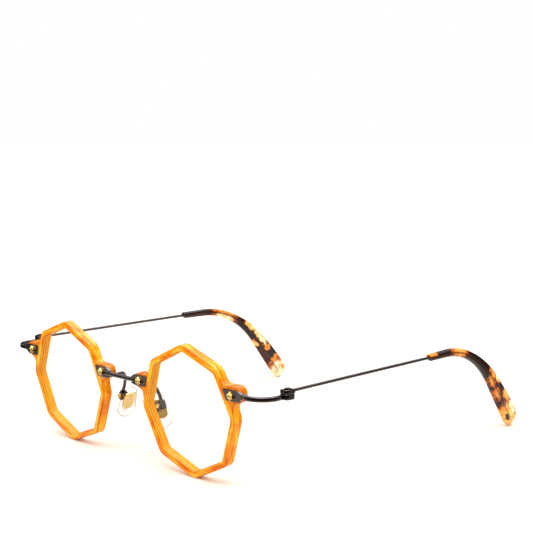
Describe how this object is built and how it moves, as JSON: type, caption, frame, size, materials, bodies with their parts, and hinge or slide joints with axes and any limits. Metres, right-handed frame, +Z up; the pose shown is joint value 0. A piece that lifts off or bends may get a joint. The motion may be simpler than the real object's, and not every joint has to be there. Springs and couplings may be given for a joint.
{
  "type": "octagonal eyeglasses",
  "caption": "Clear eyeglasses with octagonal amber acetate rims, let-in metal plates, star bolts, thin wire temples that fold and tortoiseshell tips.",
  "frame": {"origin": "on the floor, at the middle of the open pair's width and depth", "axes": "+X to the wearer's left, +Y back along the open temples, +Z up"},
  "size_m": [0.1454, 0.146, 0.0463],
  "materials": {
    "honey_acetate": "polished translucent honey acetate with deeper orange streaks",
    "tortoise_acetate": "polished dark tortoiseshell acetate with amber patches",
    "gunmetal": "polished gunmetal plating over steel",
    "gold": "polished gold plating",
    "clear_lens": "clear polished demonstration lens",
    "clear_silicone": "clear smooth silicone"
  },
  "bodies": {
    "front": {"left_rim": "honey_acetate", "right_rim": "honey_acetate", "left_lens": "clear_lens", "right_lens": "clear_lens", "left_end_piece": "gunmetal", "right_end_piece": "gunmetal", "left_bridge_plate": "gunmetal", "right_bridge_plate": "gunmetal", "bridge_bar": "gunmetal", "left_outer_bolt": "gold", "right_outer_bolt": "gold", "left_inner_bolt": "gold", "right_inner_bolt": "gold", "left_outer_nut": "gunmetal", "right_outer_nut": "gunmetal", "left_inner_nut": "gunmetal", "right_inner_nut": "gunmetal", "left_hinge_screw": "gunmetal", "right_hinge_screw": "gunmetal", "left_pad_arm": "gunmetal", "right_pad_arm": "gunmetal", "left_pad_box": "gunmetal", "right_pad_box": "gunmetal", "left_pad_screw": "gold", "right_pad_screw": "gold"},
    "left_temple": {"left_temple": "gunmetal", "left_temple_tip": "tortoise_acetate"},
    "right_temple": {"right_temple": "gunmetal", "right_temple_tip": "tortoise_acetate"},
    "left_pad": {"left_pad_core": "gold", "left_nose_pad": "clear_silicone"},
    "right_pad": {"right_pad_core": "gold", "right_nose_pad": "clear_silicone"}
  },
  "joints": [
    {"name": "left_hinge", "type": "hinge", "parent": "front", "child": "left_temple", "pos_m": [0.07102, -0.05841, 0.03349], "axis": [0, 0, 1], "range_deg": [0, 87]},
    {"name": "right_hinge", "type": "hinge", "parent": "front", "child": "right_temple", "pos_m": [-0.07102, -0.05841, 0.03349], "axis": [0, 0, -1], "range_deg": [0, 83]},
    {"name": "left_pad_rock", "type": "hinge", "parent": "front", "child": "left_pad", "pos_m": [0.01113, -0.06231, 0.02031], "axis": [0, 1, 0], "range_deg": [-10, 10]},
    {"name": "right_pad_rock", "type": "hinge", "parent": "front", "child": "right_pad", "pos_m": [-0.01113, -0.06231, 0.02031], "axis": [0, 1, 0], "range_deg": [-10, 10]}
  ]
}
